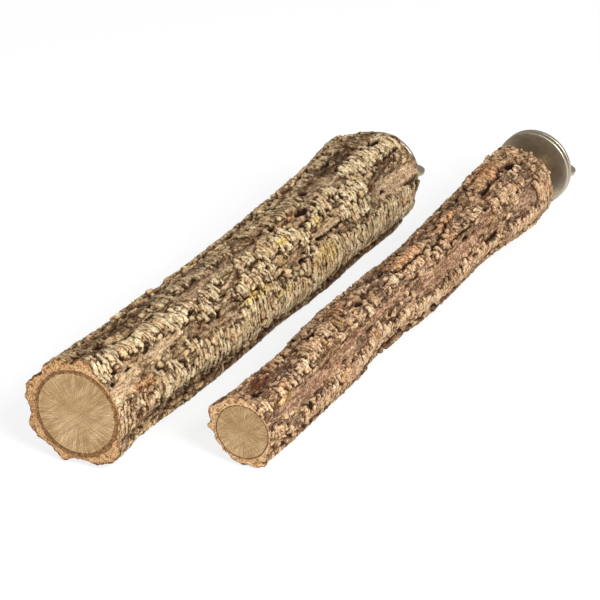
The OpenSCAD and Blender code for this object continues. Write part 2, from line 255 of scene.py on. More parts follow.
LARGE = {
    "name": "large",
    "seed": 11,
    "rings": 414,
    "around": 232,
    "wood_r": 18.1,
    "inner_r": 20.0,
    "size": 1.0,  # of the bark's detail
    "warm": 0.0,  # how orange its fresh cork is
    "old": (204, 180, 158),  # the colour of its smooth old bark
    "wood": (190, 163, 128),
    "flaky": 0.0,  # how much more of its old bark has lifted into flakes
    "crackle": 1.0,  # how plain the cracks across its broken cork are
    "tone": (0.955, 0.985, 0.95),  # what the colours of its bark are multiplied by
    "sawn_tone": (0.78, 0.75, 0.74),  # and those of the bark's sawn edge
    # the outlines of the sawn face and of the bark's back edge, as angle and radius
    "outline": [
        (2, 20.4), (20, 21.2), (40, 21.3), (60, 21.7), (70, 23.6), (76, 25.4), (83, 25.9),
        (89, 24.4), (94, 22.8), (102, 24.3), (110, 25.4), (121, 24.8), (130, 24.3),
        (135, 22.4), (146, 23.6), (158, 25.1), (165, 24.2), (172, 25.0), (179, 23.2),
        (186, 22.0), (193, 22.6), (200, 24.6), (207, 25.2), (216, 24.6), (224, 22.8),
        (234, 22.2), (244, 23.0), (250, 24.05), (257, 23.5), (263, 21.9), (272, 20.9),
        (280, 21.5), (287, 22.9), (302, 24.6), (316, 25.3), (326, 25.3), (332, 22.2),
        (349, 21.2)
    ],
    "back_outline": [
        (6, 25.6), (15, 26.6), (21, 26.9), (27, 27.4), (36, 27.6), (43, 27.4), (50, 27.2),
        (60, 27.4), (72, 26.9), (84, 25.2), (98, 23.8), (112, 23.8), (124, 25.2),
        (136, 27.0), (150, 26.6), (170, 26.0), (215, 25.0),
        (260, 24.2), (300, 25.2), (325, 25.8), (345, 24.0), (352, 23.6)
    ],
    # broken plates of pale cork: how pale, then places along the perch, each with the
    # lowest and highest angle there
    "plates": [
        (1.0, (0, 59, 71), (0.035, 60, 71)),
        (0.8, (0, 51, 57), (0.032, 51, 58)),
        (1.0, (0.03, 67, 79), (0.075, 66, 79), (0.1, 64, 73)),
        (1.0, (0.07, 61, 71), (0.1, 58, 71)),
        (1.0, (0.098, 57, 71), (0.13, 59, 76), (0.2, 66, 79)),
        (1.0, (0.15, 56, 64.5), (0.198, 56, 65.5)),
        (1.0, (0.202, 60, 71), (0.24, 60, 71), (0.27, 59, 68)),
        (1.0, (0.2, 50, 58.5), (0.225, 49, 58)),
        (0.85, (0.265, 52, 60), (0.297, 52, 60)),
        (0.95, (0.25, 41, 49), (0.28, 39, 48), (0.295, 42, 49)),
        (0.85, (0.3, 52, 61), (0.325, 53, 61)),
        (0.75, (0.3, 62, 68), (0.36, 61, 70)),
        (0.95, (0.352, 33, 42), (0.375, 32, 49), (0.42, 33, 51), (0.475, 33, 42)),
        (1.0, (0.403, 60, 65), (0.42, 59, 71), (0.472, 59, 71)),
        (1.0, (0.46, 49, 60), (0.475, 49, 68), (0.494, 53, 69)),
        (1.0, (0.498, 56, 66), (0.515, 49, 67), (0.55, 48, 67), (0.58, 52, 62)),
        (1.0, (0.57, 42, 52), (0.604, 40, 50)),
        (1.0, (0.607, 50, 54), (0.645, 51, 61), (0.68, 53, 71), (0.74, 59, 73)),
        (1.0, (0.7, 34, 38), (0.725, 34, 47), (0.75, 40, 61), (0.8, 41, 58), (0.814, 42, 50)),
        (0.8, (0.71, 26, 33), (0.76, 22, 36), (0.812, 22, 34)),
        (1.0, (0.785, 67, 75), (0.82, 64, 80), (0.86, 60, 80), (0.9, 60, 80), (0.96, 57, 70)),
        (0.75, (0.83, 55, 62), (0.96, 53, 61)),
        (0.75, (0, -22, 16), (0.038, -18, 18)),
        (1.0, (0.048, 5, 12), (0.085, 0, 10), (0.118, -3, 4)),
        (0.9, (0.1, 14, 24), (0.14, 12, 26)),
        (0.9, (0.15, 2, 12), (0.175, 1, 9)),
        (0.95, (0.178, 2, 13), (0.21, 2, 11)),
        (0.7, (0.19, 20, 32), (0.24, 16, 28)),
        (0.9, (0.245, -7, 11), (0.27, -8, 11), (0.292, -6, 9)),
        (0.95, (0.297, -11, 14), (0.33, -8, 13), (0.36, -3, 10)),
        (0.85, (0.35, 0, 22), (0.4, 2, 25), (0.44, 4, 30)),
        (0.9, (0.4, -12, 0), (0.45, -17, 5), (0.47, -18, 16), (0.5, -22, 14), (0.53, -25, 8)),
        (0.9, (0.53, -25, 12), (0.56, -26, 26), (0.6, -14, 28), (0.66, -10, 28), (0.7, -10, 16)),
        (0.95, (0.66, -9, 14), (0.72, -10, 14), (0.8, -17, 8)),
        (0.9, (0.79, -17, 10), (0.85, -22, 14), (0.9, -23, 12), (0.95, -27, 6), (0.98, -28, 4)),
        (0.5, (0.18, 93, 104), (0.3, 89, 103), (0.45, 88, 101)),
        (0.65, (0.5, 90, 103), (0.56, 80, 98), (0.63, 78, 97), (0.68, 88, 102)),
        (0.5, (0, 98, 116), (0.05, 96, 112), (0.1, 94, 106)),
        (0.55, (0.89, 82, 96), (0.955, 80, 96))
    ],
    # old smooth bark: place, angle, and half its reach along and round the perch
    "smooth": [
        (0.35, 76, 0.17, 6), (0.73, 80, 0.08, 10), (0.89, 26, 0.09, 11), (0.66, 36, 0.06, 5),
        (0.02, 32, 0.03, 11), (0.5, 72, 0.06, 5), (0.15, 46, 0.05, 6), (0.06, 41, 0.03, 6),
        (0.62, 64, 0.03, 4), (0.42, 55, 0.06, 3)
    ],
    # holes and hollows, painted dark as shade: the same four, and the depth
    "pits": [
        (0.49, 20, 0.006, 4.5, 2.2), (0.3, 37, 0.006, 5, 1.6), (0.245, 56, 0.008, 2.5, 1.5),
        (0.115, 79, 0.016, 1.8, 1.4), (0.025, 79, 0.006, 2, 1.2), (0.24, -17, 0.014, 4, 2),
        (0.92, 75, 0.022, 4, 2.4), (0.03, 53, 0.008, 2, 1), (0.065, 92, 0.008, 4, 1.2),
        (0.55, 78, 0.012, 3, 1.4), (0.635, 70, 0.02, 4, 1.6), (0.46, 11, 0.004, 2, 1),
        (0.33, 51, 0.014, 1.5, 1), (0.555, 24, 0.012, 3, 1.2), (0.85, 25, 0.012, 2, 0.7),
        (0.62, 33, 0.012, 1.4, 0.8), (0.69, 90, 0.014, 4, 1.4), (0.115, 54, 0.01, 3, 0.8),
        (0.015, 44, 0.006, 3, 0.8), (0.06, 48, 0.008, 2, 0.8)
    ],
    # long cracks, painted dark as shade too: depth, then points along them
    "cracks": [
        (1.0, (0.113, 31), (0.122, 22), (0.138, 9)), (0.8, (0.158, 25), (0.17, 8)),
        (0.8, (0.61, 33), (0.64, 31), (0.7, 31), (0.73, 26)),
        (1.2, (0.455, 63), (0.46, 56), (0.47, 49)), (1.0, (0.7, 61), (0.74, 59.5)),
        (1.1, (0.1, 77.5), (0.13, 79)), (1.0, (0.53, 12), (0.56, 3), (0.565, -6)),
        (1.0, (0.72, 5), (0.73, -3), (0.745, -9)), (0.9, (0.86, 54), (0.95, 52)),
        (1.2, (0.6, 57), (0.63, 57), (0.655, 63))
    ],
    # stains: colour, place, angle, half its reach along and round, and strength
    "stains": [
        (YELLOW, 0.4, 29, 0.045, 7, 0.6), (YELLOW, 0.535, 56, 0.022, 5, 0.7),
        (YELLOW, 0.51, 37, 0.02, 6, 0.45), (YELLOW, 0.61, 14, 0.05, 10, 0.45),
        (YELLOW, 0.48, 9, 0.03, 5, 0.4), (YELLOW, 0.64, 50, 0.02, 4, 0.5),
        (GREEN, 0.79, 34, 0.022, 4, 0.6), (ORANGE, 0.07, 23, 0.025, 6, 0.7),
        (ORANGE, 0.61, 74, 0.025, 6, 0.45), (RUST, 0.822, 40, 0.009, 6, 0.75),
        (ORANGE, 0.53, 5, 0.03, 4, 0.35), (PINK_TAN, 0.89, 25, 0.09, 11, 0.8),
        (PINK_TAN, 0.36, 37, 0.014, 5, 0.6), (GREEN, 0.77, 3, 0.03, 4, 0.35),
        (GREEN, 0.38, 68, 0.03, 5, 0.3), (ORANGE, 0.92, 0, 0.05, 8, 0.3),
        (PINK_TAN, 0.02, -2, 0.03, 14, 0.5), (ORANGE, 0.93, 88, 0.025, 6, 0.3)
    ],
    # darker stretches, partly darker bark and partly painted shade on the sides turned away from
    # the lamps: place, angle, half its reach along and round, and strength
    "shade": [
        (0.33, 97, 0.2, 8, 0.5), (0.87, 94, 0.14, 11, 0.5), (0.89, 45, 0.07, 7, 0.4),
        (0.12, 106, 0.1, 10, 0.5), (0.2, -12, 0.16, 9, 0.55), (0.5, -36, 0.3, 10, 0.6),
        (0.06, -1, 0.04, 5, 0.4), (0.62, 66, 0.04, 6, 0.4), (0.37, 55, 0.04, 5, 0.3),
        (0.8, -34, 0.2, 10, 0.6), (0.45, 84, 0.2, 6, 0.45), (0.78, 88, 0.2, 11, 0.4),
        (0.1, 98, 0.12, 9, 0.4), (0.2, -22, 0.2, 9, 0.5), (0.6, -24, 0.15, 4, 0.3),
        (0.3, 77, 0.17, 5, 0.45), (0.46, -26, 0.11, 7, 0.5), (0.68, -21, 0.08, 6, 0.5)
    ],
}

SMALL = {
    "name": "small",
    "seed": 23,
    "rings": 442,
    "around": 216,
    "wood_r": 11.8,
    "inner_r": 12.4,
    "size": 0.85,
    "warm": 0.25,
    "old": (178, 150, 132),
    "wood": (176, 150, 116),
    "flaky": 0.12,
    "crackle": 0.6,
    "tone": (0.915, 0.882, 0.885),
    "sawn_tone": (0.84, 0.87, 0.94),
    "outline": [
        (9, 13.3), (26, 13.2), (40, 13.3), (50, 13.4), (67, 14.2), (80, 14.8), (91, 15.5),
        (102, 15.9), (113, 15.9), (122, 16.5), (137, 16.4), (146, 17.0), (156, 17.1),
        (164, 16.3), (170, 14.8), (176, 16.0), (183, 16.2), (189, 14.7), (195, 13.6),
        (208, 14.1), (222, 13.5), (234, 13.2), (246, 13.4), (253, 14.7), (267, 15.3),
        (280, 15.2), (288, 15.6), (294, 16.7), (306, 16.8), (316, 16.3), (323, 14.4),
        (335, 13.4), (351, 13.2)
    ],
    "back_outline": [
        (13, 16.3), (25, 16.3), (37, 16.3), (48, 16.2), (59, 15.1), (73, 15.7), (87, 15.4),
        (106, 16.7), (124, 18.3), (145, 18.6), (180, 17.5), (230, 17.0), (280, 18.0),
        (310, 19.6), (324, 19.3), (341, 18.4), (351, 16.9)
    ],
    "plates": [
        (1.0, (0.455, 75, 88), (0.5, 73, 97), (0.53, 73, 99), (0.557, 75, 90)),
        (1.0, (0.55, 52, 55), (0.6, 52, 70), (0.637, 54, 62)),
        (0.9, (0.605, 73, 78), (0.65, 84, 97), (0.69, 96, 104)),
        (1.0, (0.795, 82, 98), (0.83, 82, 122), (0.865, 88, 122)),
        (0.9, (0.215, 74, 90), (0.235, 74, 98), (0.254, 84, 96)),
        (1.0, (0.155, 70, 86), (0.175, 67, 93), (0.203, 68, 80)),
        (1.0, (0.11, 53, 64), (0.135, 52, 70), (0.152, 54, 64)),
        (0.85, (0.05, 51, 60), (0.075, 50, 65), (0.092, 53, 60)),
        (0.85, (0.295, 93, 108), (0.33, 95, 116)),
        (0.85, (0.36, 91, 102), (0.4, 92, 106)),
        (0.8, (0.1, 97, 112), (0.13, 98, 116)),
        (1.0, (0.905, 80, 90), (0.942, 82, 96)),
        (0.95, (0.468, 57, 66), (0.502, 59, 71)),
        (0.95, (0.505, 61, 71), (0.55, 62, 73)),
        (0.85, (0.75, 39, 50), (0.8, 40, 56), (0.847, 40, 52)),
        (0.9, (0.875, 0, 30), (0.91, 0, 38), (0.95, 4, 36)),
        (0.7, (0.3, 10, 22), (0.347, 10, 28)),
        (0.9, (0.215, 9, 15), (0.257, 8, 14)),
        (0.85, (0.09, -20, 4), (0.13, -22, 6), (0.2, -22, 8), (0.27, -20, 4)),
        (0.8, (0.27, -14, 9), (0.36, -8, 12), (0.45, -10, 6)),
        (0.85, (0.45, -18, 3), (0.52, -20, 4), (0.6, -22, 8)),
        (0.9, (0.6, -24, 8), (0.66, -22, 4), (0.74, -22, 0)),
        (0.85, (0.78, -24, -2), (0.84, -24, -4), (0.9, -20, 0)),
        (0.8, (0, 42, 62), (0.03, 44, 60)),
        (0.7, (0, -6, 14), (0.04, -8, 10)),
        (0.8, (0.655, 49, 56), (0.687, 51, 62)),
        (0.7, (0.69, 52, 62), (0.733, 56, 67)),
        (0.7, (0.25, 76, 86), (0.287, 75, 84)),
        (0.75, (0.31, 51, 62), (0.38, 53, 64)),
        (0.75, (0.4, 60, 72), (0.46, 62, 74)),
        (0.75, (0.86, 62, 70), (0.892, 62, 72))
    ],
    "smooth": [
        (0.12, 27, 0.14, 12), (0.57, 26, 0.12, 13), (0.85, 16, 0.05, 14), (0.4, 40, 0.07, 8),
        (0.72, 38, 0.04, 9), (0.27, 40, 0.05, 7)
    ],
    "pits": [
        (0.88, 80, 0.018, 7, 2.2), (0.38, 25, 0.006, 4, 0.7), (0.45, 28, 0.006, 3, 0.7),
        (0.315, 33, 0.01, 2, 0.8), (0.737, 52, 0.012, 2.4, 1.3), (0.255, 72, 0.004, 12, 1.2),
        (0.215, 98, 0.014, 5, 1.2), (0.105, 3, 0.006, 7, 1.2), (0.6, 2, 0.005, 8, 1.4),
        (0.72, 1, 0.016, 3, 1), (0.34, 80, 0.01, 5, 1), (0.78, 78, 0.012, 4, 0.9),
        (0.44, 95, 0.01, 6, 0.9), (0.03, 80, 0.012, 5, 0.8), (0.65, 40, 0.01, 3, 0.8)
    ],
    "cracks": [
        (1.4, (0.455, 74), (0.5, 72), (0.555, 74)), (1.2, (0.555, 64), (0.6, 72), (0.64, 80)),
        (1.2, (0.795, 81), (0.83, 80.5), (0.86, 84)), (1.0, (0.145, 53), (0.15, 62)),
        (1.0, (0.185, 10), (0.187, 0), (0.2, -8)), (1.2, (0.6, 10), (0.597, 2), (0.6, -8)),
        (0.9, (0.645, 6), (0.66, 0)), (1.0, (0.7, 3), (0.74, 4)),
        (0.8, (0.6, 51), (0.66, 50), (0.69, 50))
    ],
    "stains": [
        (ORANGE, 0.5, 85, 0.05, 12, 0.6), (ORANGE, 0.65, 90, 0.05, 14, 0.6),
        (ORANGE, 0.83, 102, 0.035, 20, 0.6), (ORANGE, 0.6, 60, 0.04, 9, 0.35),
        (RUST, 0.055, 91, 0.026, 9, 0.7), (ORANGE, 0.12, 108, 0.03, 12, 0.5),
        (PINK_TAN, 0.7, 39, 0.03, 9, 0.7), (YELLOW, 0.735, 33, 0.02, 5, 0.35),
        (PINK_TAN, 0.84, 14, 0.045, 14, 0.7), (ORANGE, 0.3, 100, 0.03, 9, 0.5),
        (YELLOW, 0.27, 76, 0.02, 5, 0.3), (ORANGE, 0.91, 15, 0.03, 14, 0.35),
        (ORANGE, 0.32, 18, 0.025, 8, 0.3), (PINK_TAN, 0.2, -12, 0.08, 10, 0.4),
        (YELLOW, 0.05, 43, 0.03, 8, 0.35), (GREEN, 0.47, 30, 0.02, 8, 0.25)
    ],
    "shade": [
        (0.08, 90, 0.08, 14, 0.35), (0.42, 104, 0.06, 10, 0.45), (0.55, 106, 0.05, 8, 0.4),
        (0.72, 112, 0.06, 10, 0.5), (0.76, 82, 0.03, 8, 0.1), (0.9, 60, 0.04, 14, 0.3),
        (0.37, 84, 0.05, 8, 0.3), (0.27, 92, 0.02, 14, 0.35), (0.4, -32, 0.4, 9, 0.5),
        (0.5, 104, 0.5, 12, 0.3), (0.3, 84, 0.2, 6, 0.2), (0.08, 80, 0.09, 12, 0.3)
    ],
}


class Perch:
    """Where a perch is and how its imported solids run, read from the frame"""

    STATIONS = 59
    ANGLES = 72
    FAR = 80  # a distance outside any perch
    BACK_KEEP = 7  # the solid's cork thins over this length at its back end
    RAISE = 0.75  # how much of a furrow's depth is left out where the camera looks
    SEEN = (60, 88)  # degrees from there over which this fades
    CREST = 3  # steps round the perch within which the highest bark is a furrow's crest
    SOFT = 2  # steps over which the crests are averaged

    def __init__(self, spec):
        self.spec = spec
        self.name = spec["name"]
        self.noise = Noise(spec["seed"] + 50)
        low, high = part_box(self.name + "_wood_core")
        self.face, self.back = low.y / MM, high.y / MM
        self.length = self.back - self.face
        washer_low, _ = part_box(self.name + "_inner_washer")
        self.reach = washer_low.y / MM - self.face
        self.inner_t = spec["inner_r"] - spec["wood_r"]
        self.read_middle()
        self.read_radii()

    def read_middle(self):
        """The middle and the girth of the wood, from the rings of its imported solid"""
        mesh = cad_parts[self.name + "_wood_core"].data
        points = np.array([v.co for v in mesh.vertices]) / MM
        places, middles, girths = [], [], []
        thin = 0.1
        for y in np.unique(points[:, 1].round(1)):
            ring = points[abs(points[:, 1] - y) < thin][:, [0, 2]]
            if np.ptp(ring[:, 0]) > self.spec["wood_r"]:
                places.append(y)
                middles.append((ring.max(0) + ring.min(0)) / 2)
                girths.append(np.ptp(ring[:, 1]) / 2 / self.spec["wood_r"])
        self.places = np.array(places)
        self.middles = np.array(middles)
        self.girths = np.array(girths)

    def middle(self, y):
        """x and z of the middle so far behind the sawn face"""
        x = np.interp(self.face + y, self.places, self.middles[:, 0])
        z = np.interp(self.face + y, self.places, self.middles[:, 1])
        return x, z

    def girth(self, y):
        """How thick the perch is so far behind the sawn face, against the face"""
        return np.interp(self.face + y, self.places, self.girths)

    def read_radii(self):
        """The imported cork's radius at even steps along and round the perch"""
        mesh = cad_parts[self.name + "_cork_bark"].data
        tree = BVHTree.FromPolygons(
            [v.co for v in mesh.vertices], [p.vertices for p in mesh.polygons]
        )
        inside = 0.02
        self.stations = np.linspace(inside, self.length - self.BACK_KEEP, self.STATIONS)
        self.radii = np.zeros((self.STATIONS, self.ANGLES))
        for i, y in enumerate(self.stations):
            x, z = self.middle(y)
            for j in range(self.ANGLES):
                a = math.tau * j / self.ANGLES
                out = Vector((math.cos(a), 0, math.sin(a)))
                start = Vector((x, self.face + y, z)) + out * self.FAR
                self.radii[i, j] = self.FAR - tree.ray_cast(start * MM, -out)[3] / MM
        crest = self.radii
        for shift in range(-self.CREST, self.CREST + 1):
            crest = np.maximum(crest, np.roll(self.radii, shift, axis=1))
        away = abs((np.arange(self.ANGLES) * 360 / self.ANGLES - FACING + 180) % 360 - 180)
        seen = 1 - ease(away, *self.SEEN)
        depth = np.maximum(blur(crest, self.SOFT, self.SOFT) - self.radii, 0)
        self.radii = self.radii + self.RAISE * seen * depth

    def radius(self, y, angle):
        """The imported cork's radius, with its facets smoothed away"""
        row = (y - self.stations[0]) / (self.stations[1] - self.stations[0])
        return smooth_lookup(self.radii, row, angle / (360 / self.ANGLES))

    def ring(self, y, angle, radius):
        """Points at these radii round the middle, never below the floor"""
        above_floor = 0.05
        x, z = self.middle(y)
        a = np.radians(angle)
        height = np.maximum(z + radius * np.sin(a), above_floor)
        return np.stack([x + radius * np.cos(a), self.face + y + 0 * a, height], -1)

    def sleeve(self, shares, angle, radius):
        """Rings at shares of the perch's length, as thick as it is there"""
        places = [share * self.length for share in shares]
        return [self.ring(y, angle, radius * self.girth(y)) for y in places]

    def wood_edge(self, angle):
        """Where the wood ends and the inner bark starts on the sawn face"""
        uneven, size = 0.22, 2.4
        return self.spec["wood_r"] + uneven * self.inner_t * self.wave(angle, size, 0.0)

    def inner_edge(self, angle):
        """Where the inner bark ends and the cork starts, further out at the lower right"""
        shift, lower_right, uneven, size = 0.16, -50, 0.3, 2.6
        further = shift * np.cos(np.radians(angle - lower_right))
        further = further + uneven * self.wave(angle, size, 90.0)
        return self.spec["inner_r"] + further * self.inner_t

    def wave(self, angle, size, shift):
        """An uneven line round the wood"""
        a = np.radians(angle)
        r = self.spec["wood_r"]
        spots = np.stack([r * np.cos(a), shift + 0 * a, r * np.sin(a)], -1)
        return self.noise.rough(spots, size)


def spot_share(u, angle, spot, ragged):
    """How much a point is inside an oval spot with a ragged edge, from 0 to 1"""
    place, at, along, around = spot
    uneven, inside, outside = 0.35, 0.75, 1.15
    away = np.hypot((u - place) / along, (angle - at) / around)
    return ease(-away + uneven * ragged, -outside, -inside)


def outline_radius(outline, angle):
    """The radius at each angle, on a smooth curve through the outline's points"""
    step = 1.5
    even = np.arange(0, 360, step)
    at, r = np.array(outline).T
    table = blur(np.interp(even, at, r, period=360)[None, :], 0, 1)[0]
    return np.interp(angle % 360, even, table, period=360)


def grid_angles(count):
    """The angle of each column of the bark, closer together where the camera looks"""
    turn = np.arange(count) / count * math.tau
    crowd = 0.3
    angle = np.degrees(turn - crowd * np.sin(turn - math.radians(FACING)))
    return (angle - FACING + 180) % 360 - 180 + FACING


class Bark:
    """The outside of the cork as fields on a grid: its radius, its colour and how
    broken it is. The lengths and heights here are for a size of 1."""

    LAYER, BLOCK, CRUMB = 2.7, 6.0, 2.2  # how long or wide these are
    CRACK, CRUMB_CRACK = 0.34, 0.35  # half a crack's width
    SIDE_SHARE = 0.6  # how deep cracks along the perch are, against those across it
    PLATE_RISE, OLD_DROP, RIM_DROP = 1.4, 0.8, 0.6
    BLOCK_STEP, BLOCK_TILT, CRACK_DROP = 0.35, 0.7, 0.6
    CRUMB_STEP, CRUMB_DROP, FLAKE_RISE = 0.3, 0.1, 0.8
    FACE_BLEND = (2, 15)  # over these ways from an end its outline fades
    BACK_BLEND = (14, 3)
    HIDDEN = (76, 90)  # degrees from the camera over which what it sees ends
    FRINGE = (50, 80)  # and over which the outline's flakes stand up
    NEAR = 3  # rows and columns over which the bark's level is averaged
    WIDE = 12  # and rows over which its lowest and highest are

    def __init__(self, perch):
        spec = perch.spec
        self.perch, self.spec, self.size = perch, spec, spec["size"]
        self.noise, self.other = Noise(spec["seed"]), Noise(spec["seed"] + 1)
        shape = (spec["rings"], spec["around"])
        self.angle = np.broadcast_to(grid_angles(spec["around"]), shape)
        rows = np.linspace(0, perch.length, spec["rings"])
        self.y = np.broadcast_to(rows[:, None], shape)
        self.mean_r = perch.radii.mean()
        self.arc = self.mean_r * math.pi / 180  # millimetres round the perch per degree
        a = np.radians(self.angle)
        self.points = np.stack([self.mean_r * np.cos(a), self.y, self.mean_r * np.sin(a)], -1)
        self.make_sways()
        self.make_blocks()
        self.make_ridges()
        self.make_plates()
        self.make_relief()
        self.cut_holes()
        self.settle()
        self.make_colours()

    def make_sways(self):
        """Noises that bend every feature a little"""
        p = self.points
        self.sway, self.creep = self.noise.rough(p, 17), self.other.rough(p, 14)
        self.fine_sway = self.noise.rough(p + 200, 5)
        self.fine_creep = self.other.rough(p + 200, 5)
        self.patchy = self.noise.rough(p + 400, 11)
        self.mottle = self.noise.rough(p + 1200, 4, 4)
        self.u = (self.y + 1.0 * self.fine_creep) / self.perch.reach
        self.at = self.angle + 1.1 * self.fine_sway / self.arc

    def make_blocks(self):
        """Layers across the perch, each broken into blocks, with cracks between"""
        size, seed = self.size, self.spec["seed"]
        layer = self.LAYER * size
        t = (self.y + 1.8 * self.sway + 0.6 * self.fine_creep) / layer
        gap, number, random, place = strips(t, seed + 2)
        self.layer_gap, self.layer_place, self.layer_random = gap * layer, place, random
        self.layer_run = number + place
        block = self.BLOCK * size
        t = self.angle * self.arc / block + number * 0.37 + 0.35 * self.creep
        gap, column, random, place = strips(t, seed + 3)
        self.side_gap, self.side_place, self.side_random = gap * block, place, random
        self.side_run = column + place
        # two random values for each block
        self.own = (self.layer_random * 5.3 + random * 3.1) % 1
        self.other_own = (self.layer_random * 7.7 + random * 11.3) % 1
        # the middle of each point's block
        self.block_u = (self.y - self.layer_place * layer) / self.perch.reach
        self.block_at = self.angle - place * block / self.arc

    def make_ridges(self):
        """The solid's own ridges with wandering, steeper edges, between the outlines
        of the two ends"""
        perch, spec = self.perch, self.spec
        around = self.angle + (1.8 * self.sway + 1.2 * self.fine_sway) / self.arc
        along = self.y + 2.0 * self.creep + 1.5 * self.fine_creep
        radius = perch.radius(along, around)
        low, high = (
            blur(np.broadcast_to(end[:, None], radius.shape), self.WIDE, 0)
            for end in (radius.min(1), radius.max(1))
        )
        self.ridge = np.clip((radius - low) / (high - low), 0, 1)
        steep = 0.4
        radius = radius + steep * (high - low) * (ease(self.ridge, 0.12, 0.72) - self.ridge)
        from_face = self.y + 1.5 * self.sway
        self.near_face = 1 - ease(from_face, *self.FACE_BLEND)
        near_back = ease(from_face, *(perch.length - way for way in self.BACK_BLEND))
        notch = 0.9
        notches = self.other.rough(self.points * [1, 0.5, 1] + 1600, 3.5)
        at_face = outline_radius(spec["outline"], self.angle) + notch * notches
        at_back = outline_radius(spec["back_outline"], self.angle)
        radius = radius + (at_face - radius) * self.near_face
        self.radius = radius + (at_back - radius) * near_back

    def make_plates(self):
        """Which blocks are broken and pale, and the sunken line round them, which is painted
        dark as shadow
        """
        self.pale = np.zeros_like(self.y)
        u = 0.7 * self.block_u + 0.3 * self.u
        at = 0.7 * self.block_at + 0.3 * self.at
        for tone, *places in self.spec["plates"]:
            where, bottom, top = np.array(places).T
            below = (at - np.interp(u, where, bottom)) * self.arc
            above = (np.interp(u, where, top) - at) * self.arc
            ends = np.minimum(u - where[0], where[-1] - u) * self.perch.reach
            inside = np.minimum(np.minimum(below, above), ends) + 0.7 * self.mottle
            self.pale = np.maximum(self.pale, tone * ease(inside, -0.6, 0.0))
        self.hidden = ease(abs(self.angle - FACING), *self.HIDDEN)
        self.old = np.zeros_like(self.y)
        for spot in self.spec["smooth"]:
            self.old = np.maximum(self.old, spot_share(self.u, self.at, spot, self.patchy))
        self.old = self.old * (1 - ease(self.pale, 0.1, 0.6))
        # between the plates listed above, the ridges are broken too
        chance = self.ridge + 0.5 * self.patchy + 0.5 * (self.own - 0.5)
        rest = ease(chance + 0.25 * self.hidden, 0.8, 0.86) * (1 - self.old)
        self.pale = np.maximum(self.pale, (0.6 + 0.1 * self.hidden) * rest)
        beside = self.pale
        for axis in (0, 1):
            for shift in (-1, 1):
                beside = np.maximum(beside, np.roll(self.pale, shift, axis=axis))
        # the rim: painted shadow round each plate, where the bark also sinks a little
        self.rim = (beside - self.pale) * ease(self.noise.at(self.points + 300, 6), -0.5, 0.2)

    def make_relief(self):
        """Raised plates with cracks in them, crumbs, and fibres that run along"""
        p, size = self.points, self.size
        faded = ease(self.noise.at(p + 700, 7) + 0.3 * self.other.at(p + 700, 3), -0.5, 0.0)
        across = peak(self.layer_gap, self.CRACK * size) * faded
        beside = peak(self.side_gap, self.CRACK * size) * ease(self.own, 0.3, 0.5)
        crack = np.maximum(across, self.SIDE_SHARE * beside)
        tilt = self.layer_place * (self.side_random - 0.5) + self.side_place * (self.own - 0.5)
        broken = np.clip(ease(self.pale, 0.2, 0.7) + 0.25 * self.hidden, 0, 1)
        broken = broken * (0.4 + 0.6 * ease(self.y, 0, 3))
        crumb_gap, crumb = crumbs(p * [1, 0.45, 1], self.CRUMB * size, self.spec["seed"] + 4)
        calm = 1 - 0.8 * self.old
        crumb_crack = peak(crumb_gap, self.CRUMB_CRACK * size)
        fringe = ease(abs(self.angle - FACING), *self.FRINGE)
        lifted = crumb[..., 2] + 0.4 * self.patchy + self.spec["flaky"] + 0.15 * fringe
        self.flake = (1 - broken) * calm * ease(lifted, 0.8, 0.85)
        fibre = self.other.rough(p * [1, 0.22, 1] + 600, 1.9, 2)
        grain = self.noise.rough(p + 800, 1.7, 2)
        crumb_rise = self.CRUMB_STEP * (crumb[..., 0] - 0.5) - self.CRUMB_DROP * crumb_crack
        relief = (
            self.PLATE_RISE * self.pale
            - self.OLD_DROP
            - self.RIM_DROP * self.rim
            + broken * (self.BLOCK_STEP * (self.own - 0.5) + self.BLOCK_TILT * tilt)
            - broken * self.CRACK_DROP * crack
            + (1 - broken) * calm * crumb_rise
            + self.FLAKE_RISE * (1 + fringe) * self.flake
            + (1 - 0.8 * broken) * (0.15 + 0.4 * calm) * fibre
            + (0.08 + 0.1 * calm * (1 - broken)) * grain
        )
        self.radius = self.radius + relief * size * (1 - 0.6 * self.near_face)
        self.broken, self.calm = broken, calm
        self.crack = np.clip(broken * crack, 0, 1)
        self.crumb_crack = calm * crumb_crack
        self.crumb, self.fibre = crumb, fibre

    def cut_holes(self):
        """Pits and long cracks, cut in and painted dark as shade"""
        half_width = 0.65
        self.dark = np.zeros_like(self.y)
        for *spot, depth in self.spec["pits"]:
            share = spot_share(self.u, self.at, spot, self.patchy)
            self.radius = self.radius - depth * share
            self.dark = np.maximum(self.dark, share)
        for depth, *path in self.spec["cracks"]:
            share = peak(self.distance(path), half_width)
            self.radius = self.radius - depth * share
            self.dark = np.maximum(self.dark, 0.85 * share)

    def distance(self, path):
        """How far each point is from a path of places and angles"""
        gap = np.full(self.y.shape, np.inf)
        for (u0, a0), (u1, a1) in zip(path[:-1], path[1:]):
            ax, ay = (self.u - u0) * self.perch.reach, (self.at - a0) * self.arc
            bx, by = (u1 - u0) * self.perch.reach, (a1 - a0) * self.arc
            t = np.clip((ax * bx + ay * by) / (bx * bx + by * by), 0, 1)
            gap = np.minimum(gap, np.hypot(ax - t * bx, ay - t * by))
        return gap

    def settle(self):
        """Keeps the cork outside the inner bark, and lets its back edge crumble"""
        perch = self.perch
        least, hard = 0.4, 3
        floor_r = (self.spec["inner_r"] + least) * perch.girth(self.y)
        self.radius = floor_r + np.logaddexp(0, (self.radius - floor_r) * hard) / hard
        tear, uneven, deepest, reach = 0.6, 0.9, 3, 20
        torn = tear + uneven * self.noise.rough(self.points * [1, 0, 1] + 900, 6)
        torn = np.clip(torn, 0, deepest) * ease(self.y, perch.length - reach, perch.length)
        self.worn_y = self.y - torn

